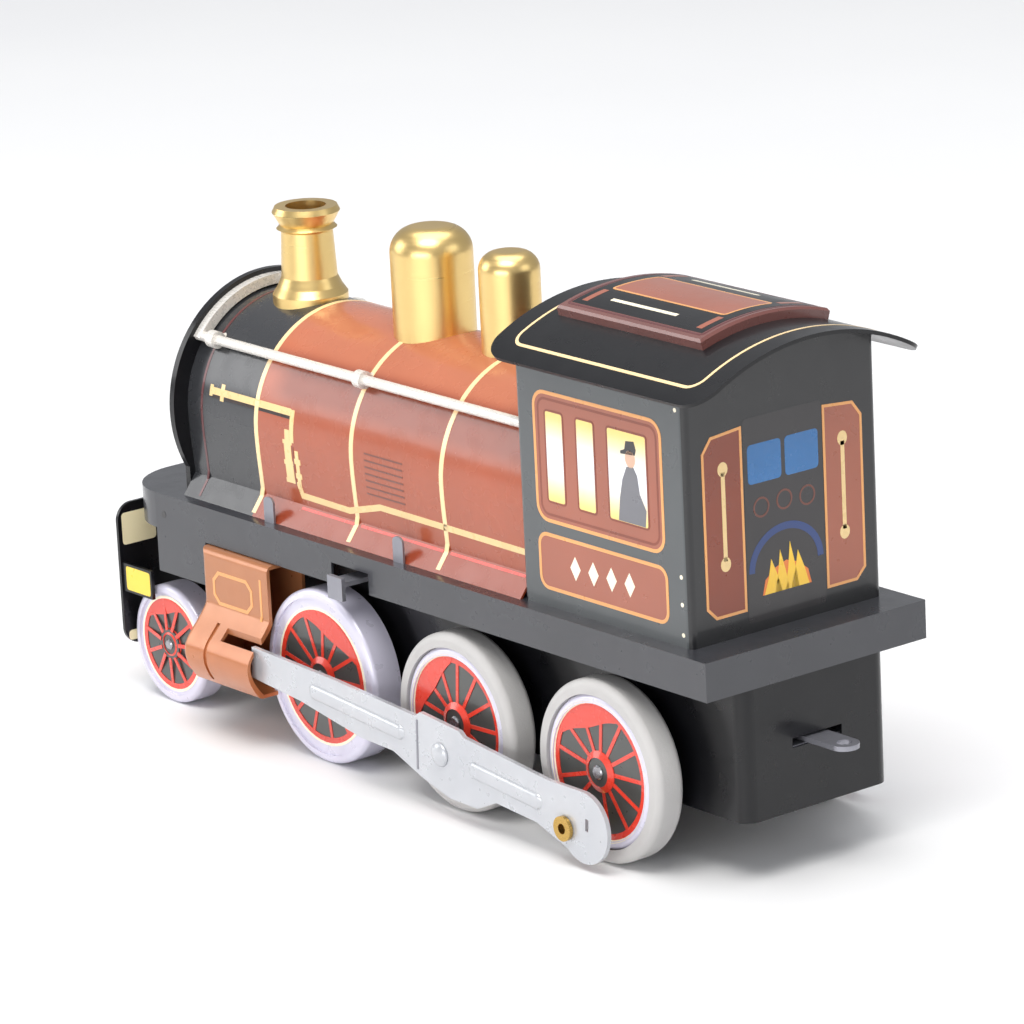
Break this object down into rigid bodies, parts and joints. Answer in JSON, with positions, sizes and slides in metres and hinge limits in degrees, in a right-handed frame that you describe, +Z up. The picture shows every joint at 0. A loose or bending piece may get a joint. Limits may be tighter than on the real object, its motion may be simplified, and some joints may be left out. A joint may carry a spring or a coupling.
{
  "type": "toy locomotive",
  "caption": "Printed tin clockwork toy locomotive with horseshoe boiler, arched cab roof, brass chimney and domes, rubber-tyred drivers, side rods and spring motor.",
  "frame": {"origin": "on the ground in the centre plane, directly below the middle driving axle", "axes": "+X forward, +Y to the engine's left, +Z up"},
  "size_m": [0.2098, 0.077, 0.113],
  "materials": {
    "black_tin": "gloss slate-black printed tinplate",
    "boiler_tin": "gloss terracotta printed tinplate with cream bands",
    "ventilator_tin": "gloss brown printed tinplate",
    "cylinder_tin": "copper-brown pressed tinplate",
    "brass": "polished turned brass",
    "rail_steel": "bright plated wire",
    "tab_steel": "bare grey tin",
    "rod_steel": "silver-white pressed tin",
    "pin_brass": "turned brass eyelets",
    "wheel_tin": "red spoked print on tinplate",
    "tyre": "pale grey rubber",
    "axle_steel": "bright drawn steel",
    "spring_steel": "blued spring steel",
    "motor_steel": "plated motor plate",
    "gear_brass": "stamped brass"
  },
  "bodies": {
    "chassis": {"boiler_shell": "boiler_tin", "boiler_tabs": "tab_steel", "buffer_beam": "black_tin", "cab_shell": "black_tin", "chimney": "brass", "cylinder_left": "cylinder_tin", "cylinder_right": "cylinder_tin", "drawbar_shelf": "tab_steel", "footplate": "black_tin", "handrail_knobs": "rail_steel", "handrails": "rail_steel", "mainspring": "spring_steel", "motor_brackets": "motor_steel", "motor_pillars": "motor_steel", "motor_plate_left": "motor_steel", "motor_plate_right": "motor_steel", "pilot_carrier": "black_tin", "pivot_rivets": "tab_steel", "roof": "black_tin", "roof_ventilator": "ventilator_tin", "safety_dome": "brass", "smokebox_front": "black_tin", "steam_dome": "brass", "underframe": "black_tin"},
    "rear_axle_set": {"rear_axle": "axle_steel", "rear_wheel_left": "wheel_tin", "rear_wheel_right": "wheel_tin", "rear_tyre_left": "tyre", "rear_tyre_right": "tyre", "rear_axle_gear": "gear_brass", "crank_pins": "pin_brass"},
    "middle_axle_set": {"middle_axle": "axle_steel", "middle_wheel_left": "wheel_tin", "middle_wheel_right": "wheel_tin", "middle_tyre_left": "tyre", "middle_tyre_right": "tyre", "middle_axle_gear": "gear_brass"},
    "front_axle_set": {"front_axle": "axle_steel", "front_wheel_left": "wheel_tin", "front_wheel_right": "wheel_tin"},
    "pilot_axle_set": {"pilot_axle": "axle_steel", "pilot_wheel_left": "wheel_tin", "pilot_wheel_right": "wheel_tin"},
    "rod_left": {"rod_left": "rod_steel"},
    "rod_right": {"rod_right": "rod_steel"},
    "idler": {"idler_wheel": "gear_brass", "idler_pinion": "gear_brass"},
    "second": {"second_wheel": "gear_brass", "second_pinion": "gear_brass"},
    "great_wheel": {"great_wheel": "gear_brass"},
    "click": {"click": "axle_steel"},
    "arbor": {"winding_arbor": "axle_steel", "ratchet_wheel": "axle_steel", "winding_key": "axle_steel"},
    "governor": {"governor": "gear_brass"},
    "start_lever": {"start_lever": "tab_steel"},
    "drawbar": {"drawbar": "tab_steel"}
  },
  "joints": [
    {"name": "rear_axle_spin", "type": "hinge", "parent": "chassis", "child": "rear_axle_set", "pos_m": [-0.046, 0, 0.019], "axis": [0, 1, 0], "continuous": true},
    {"name": "middle_axle_spin", "type": "hinge", "parent": "chassis", "child": "middle_axle_set", "pos_m": [0, 0, 0.019], "axis": [0, 1, 0], "continuous": true},
    {"name": "front_axle_spin", "type": "hinge", "parent": "chassis", "child": "front_axle_set", "pos_m": [0.046, 0, 0.019], "axis": [0, 1, 0], "continuous": true},
    {"name": "pilot_axle_spin", "type": "hinge", "parent": "chassis", "child": "pilot_axle_set", "pos_m": [0.1048, 0, 0.0134], "axis": [0, 1, 0], "continuous": true},
    {"name": "rod_left_swing", "type": "hinge", "parent": "rear_axle_set", "child": "rod_left", "pos_m": [-0.04193, 0, 0.00782], "axis": [0, 1, 0], "continuous": true},
    {"name": "rod_right_swing", "type": "hinge", "parent": "rear_axle_set", "child": "rod_right", "pos_m": [-0.04193, 0, 0.00782], "axis": [0, 1, 0], "continuous": true},
    {"name": "idler_spin", "type": "hinge", "parent": "chassis", "child": "idler", "pos_m": [-0.023, 0, 0.02715], "axis": [0, 1, 0], "continuous": true},
    {"name": "second_spin", "type": "hinge", "parent": "chassis", "child": "second", "pos_m": [-0.01539, 0, 0.04346], "axis": [0, 1, 0], "continuous": true},
    {"name": "great_wheel_spin", "type": "hinge", "parent": "chassis", "child": "great_wheel", "pos_m": [-0.00939, 0, 0.06587], "axis": [0, 1, 0], "continuous": true},
    {"name": "click_pivot", "type": "hinge", "parent": "great_wheel", "child": "click", "pos_m": [-0.00939, 0, 0.07547], "axis": [0, 1, 0], "range_deg": [-14, 0]},
    {"name": "winding_spin", "type": "hinge", "parent": "chassis", "child": "arbor", "pos_m": [-0.00939, 0, 0.06587], "axis": [0, 1, 0], "continuous": true},
    {"name": "governor_spin", "type": "hinge", "parent": "chassis", "child": "governor", "pos_m": [-0.00041, 0, 0.03679], "axis": [0, 1, 0], "continuous": true},
    {"name": "start_lever_swing", "type": "hinge", "parent": "chassis", "child": "start_lever", "pos_m": [0.034, 0.012, 0.0429], "axis": [0, 0, 1], "range_deg": [0, 8]},
    {"name": "drawbar_swing", "type": "hinge", "parent": "chassis", "child": "drawbar", "pos_m": [-0.07, 0, 0.027], "axis": [0, 0, 1], "range_deg": [-14, 14]}
  ],
  "couplings": [
    {"joint": "middle_axle_spin", "follows": "rear_axle_spin", "ratio": 1},
    {"joint": "rod_left_swing", "follows": "rear_axle_spin", "ratio": -1},
    {"joint": "rod_right_swing", "follows": "rear_axle_spin", "ratio": -1},
    {"joint": "idler_spin", "follows": "rear_axle_spin", "ratio": -0.60526},
    {"joint": "second_spin", "follows": "rear_axle_spin", "ratio": 0.24589},
    {"joint": "great_wheel_spin", "follows": "rear_axle_spin", "ratio": -0.057548},
    {"joint": "governor_spin", "follows": "rear_axle_spin", "ratio": -0.87427}
  ]
}
